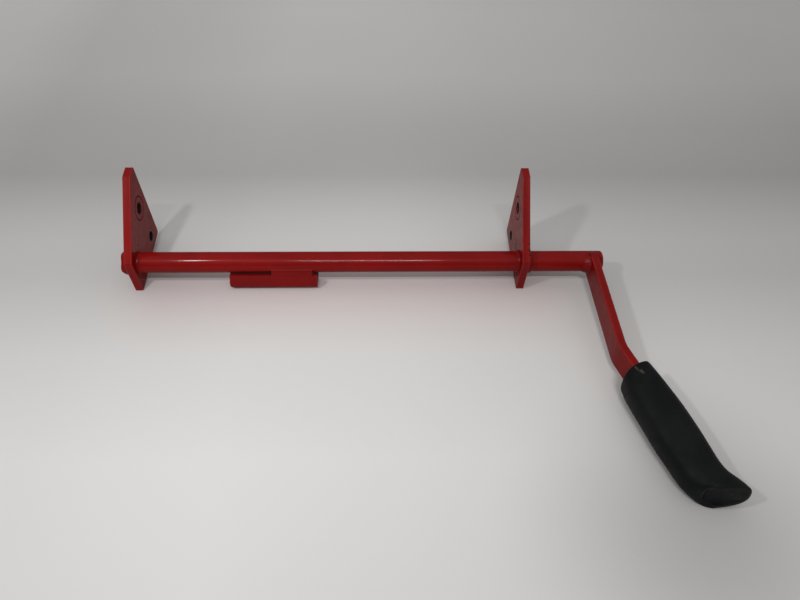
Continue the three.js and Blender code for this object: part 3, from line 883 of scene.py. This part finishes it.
def edge_bead(name, node, sign):
    """The short bead across the arm's end, from over the arm down to where it meets the shaft."""
    rings = []
    middle = ARM_X + ARM_T / 2
    toe, meets_shaft = -9.5, 4.0
    for x in np.linspace(ARM_X - 0.4, ARM_X + ARM_T + 0.4, 28):
        edge = min(1.0, (x - ARM_X + 0.45) / 1.6, (ARM_X + ARM_T + 0.45 - x) / 1.6)
        swell = math.sqrt(max(edge, 0.02))
        wave = 0.16 * abs(math.sin((x - ARM_X) / 2.3 * math.pi))
        ring = []
        for y in np.linspace(toe, meets_shaft, 16):
            down = max(0.0, (y + 4.2) / 8.2)
            narrow = 1 - 0.14 * (1 - np.clip((y + 5.5) / 2.5, 0, 1))
            fill = math.sin(math.pi * (y - toe) / (meets_shaft - toe)) * (0.3 + 0.3 * wave)
            height = ARM_W / 2 - 0.1 - 3.0 * down - 0.45 * (1 - swell) * (1 - down)
            ring.append((middle + (x - middle) * narrow, y, sign * (height + fill)))
        ring += [(x, 2.6, sign * 9.6), (middle + (x - middle) * 0.8, -9.0, sign * 11.5)]
        rings.append(ring)
    points, faces = skin(rings)
    make(name, turned(points, SLOPE), faces, node, weld_coat,
         {"edge": np.zeros(len(points))}, weighted=False)


def build_beads():
    outer_right = ARM_X + ARM_T
    arc = (math.radians(106), math.radians(254))

    def lobed(angle):
        return 2.5 + 0.6 * math.cos(4 * (angle - math.pi / 2))

    def front(angle):
        return 1.9 + 2.4 * math.cos(angle) ** 2

    bead("bead_left_outer", "weld_plate_left_outer", -PLATE_T, -1, lobed, 7.6, seed=1,
         ripple=0.06, lobes=0.08)
    bead("bead_left_inner", "weld_plate_left_inner", 0, 1, lambda a: 1.2, 3.0, seed=2,
         ripple=0.12)
    bead("bead_right_inner", "weld_plate_right_inner", PLATE_SPACING, -1, lambda a: 1.2, 3.0,
         seed=3, ripple=0.12)
    bead("bead_right_outer", "weld_plate_right_outer", PLATE_SPACING + PLATE_T, 1,
         lambda a: 1.8, 5.8, seed=4, ripple=0.34)
    bead("bead_arm_inner", "weld_arm_inner", ARM_X, -1, front, 6.6, arc, seed=5, ripple=0.08,
         flat=0.9)
    bead("bead_arm_outer", "weld_arm_outer", outer_right, 1, front, 4.8, arc, seed=6, ripple=0.08,
         flat=0.8)
    edge_bead("bead_arm_top", "weld_arm_top", 1)
    edge_bead("bead_arm_bottom", "weld_arm_bottom", -1)


build_beads()

# ---- floor and light ----------------------------------------------------------------------------

# Centre of a painted shadow on the floor round the grip, in the row frame's metres.
PAINTED_SHADOW_AT = (0.24, -0.19, 0.0)
# Centre of a painted pool of light on the floor between the plates, in the row frame's metres.
PAINTED_LIGHT_AT = (0.0, 0.13, 0.0)
FLOOR_HALF = 4.0
KEY_AT, KEY_AIM, KEY_WATTS, KEY_SIZE = (-131, -350, 645), (200, -60, -20), 1.6, 0.05
TUBE_AT, TUBE_AIM, TUBE_WATTS = (200, -2120, 3080), (200, 0, 0), 38
TUBE_LENGTH, TUBE_WIDTH = 0.93, 0.05


def falloff_ramp(tree, value, low, high, stops):
    """A smooth painted light falloff along one axis from (metres, level) stops; levels are below 1."""
    ramp = add(tree, "ShaderNodeValToRGB", {
        "Fac": add(tree, "ShaderNodeMapRange", {
            "Value": value, "From Min": low, "From Max": high,
        }).outputs[0],
    })
    elements = ramp.color_ramp.elements
    while len(elements) < len(stops):
        elements.new(0.5)
    for element, (where, level) in zip(elements, stops):
        element.position = (where - low) / (high - low)
        element.color = (level, level, level, 1)
    return ramp.outputs["Color"]


def build_floor():
    """Pale floor with painted light falloff along both axes, a painted shadow round the grip, a painted
    pool of light between the plates, and a faint red blush of painted bounce light in front of the shaft.
    """
    made, tree, shader = material("pale_floor", Roughness=0.6, Specular_IOR_Level=0.2)
    split = add(tree, "ShaderNodeSeparateXYZ", {0: place(tree)})
    # Painted light falloff: the floor's tone is darkened along X and Y where the light falls off.
    painted_falloff_x = falloff_ramp(tree, split.outputs["X"], -0.75, 0.75, [
        (-0.75, 0.85), (-0.60, 0.82), (-0.48, 0.74), (-0.32, 0.775), (-0.16, 0.85), (0.0, 0.84),
        (0.16, 0.80), (0.32, 0.765), (0.48, 0.72), (0.62, 0.68), (0.75, 0.67),
    ])
    painted_falloff_y = falloff_ramp(tree, split.outputs["Y"], -0.23, 0.80, [
        (-0.23, 0.81), (-0.12, 0.87), (0.0, 0.81), (0.11, 0.67), (0.17, 0.67), (0.21, 0.63),
        (0.30, 0.50), (0.42, 0.565), (0.56, 0.68), (0.80, 0.77),
    ])
    tone = multiplied(tree, painted_falloff_x, painted_falloff_y)
    paint = mixed(tree, ranged(tree, grain(tree, 2.2, 3), 0.3, 0.7),
                  rgb(0.985, 0.970, 0.955), rgb(1.0, 0.990, 0.980))
    colour = multiplied(tree, tone, paint)
    # Painted shadow: a soft dark patch round the grip.
    corner = ranged(tree, distance_to(tree, PAINTED_SHADOW_AT), 0.0, 0.18, 0.34, 0.0)
    colour = mixed(tree, corner, colour, rgb(0.03, 0.03, 0.028))
    # Painted light: a soft brighter patch between the plates.
    centre = ranged(tree, distance_to(tree, PAINTED_LIGHT_AT), 0.03, 0.26, 0.16, 0.0)
    colour = mixed(tree, centre, colour, rgb(0.95, 0.95, 0.93))
    # Painted reflection: a faint red tint in front of the shaft stands for light bounced off the red
    # paint onto the floor.
    painted_bounce_mask = maths(tree, "MULTIPLY", ranged(tree, split.outputs["Y"], -0.01, 0.09),
                 ranged(tree, split.outputs["Y"], 0.10, 0.14, 1.0, 0.0))
    painted_bounce_mask = maths(tree, "MULTIPLY", painted_bounce_mask, ranged(tree, split.outputs["X"], 0.14, 0.22, 1.0, 0.0))
    painted_bounce_mask = maths(tree, "MULTIPLY", painted_bounce_mask, ranged(tree, split.outputs["X"], -0.32, -0.24))
    blush = mixed(tree, painted_bounce_mask, rgb(1, 1, 1), rgb(0.99, 0.90, 0.90))
    colour = multiplied(tree, colour, blush)
    tree.links.new(colour, shader.inputs["Base Color"])
    bumps(tree, shader, [(grain(tree, 60, 4), 0.0002)])
    mesh = bpy.data.meshes.new("floor")
    half = FLOOR_HALF
    mesh.from_pydata([(-half, -half, 0), (half, -half, 0), (half, half, 0), (-half, half, 0)],
                     [], [(0, 1, 2, 3)])
    mesh.materials.append(made)
    floor = bpy.data.objects.new("floor", mesh)
    bpy.context.scene.collection.objects.link(floor)


def build_world():
    """A room that is dim at eye level and bright overhead."""
    world = bpy.data.worlds.new("studio")
    world.use_nodes = True
    tree = world.node_tree
    direction = add(tree, "ShaderNodeTexCoord").outputs["Generated"]
    split = add(tree, "ShaderNodeSeparateXYZ", {0: direction})
    light = ranged(tree, split.outputs["Z"], -0.1, 1.0, 0.07, 0.61)
    background = tree.nodes["Background"]
    background.inputs["Color"].default_value = (1.0, 0.985, 0.97, 1)
    tree.links.new(light, background.inputs["Strength"])
    bpy.context.scene.world = world


def area_light(name, position, target, watts, width, height):
    """A rectangular lamp that points at a target; both are in lever millimetres."""
    data = bpy.data.lights.new(name, "AREA")
    data.shape = "RECTANGLE"
    data.size, data.size_y = width, height
    data.energy = watts
    lamp = bpy.data.objects.new(name, data)
    lamp.location = put(position)[0]
    way = Vector(put(target)[0]) - lamp.location
    lamp.rotation_euler = way.to_track_quat("-Z", "Y").to_euler()
    bpy.context.scene.collection.objects.link(lamp)


build_floor()
build_world()
area_light("key", KEY_AT, KEY_AIM, KEY_WATTS, KEY_SIZE, KEY_SIZE)
area_light("tube", TUBE_AT, TUBE_AIM, TUBE_WATTS, TUBE_LENGTH, TUBE_WIDTH)
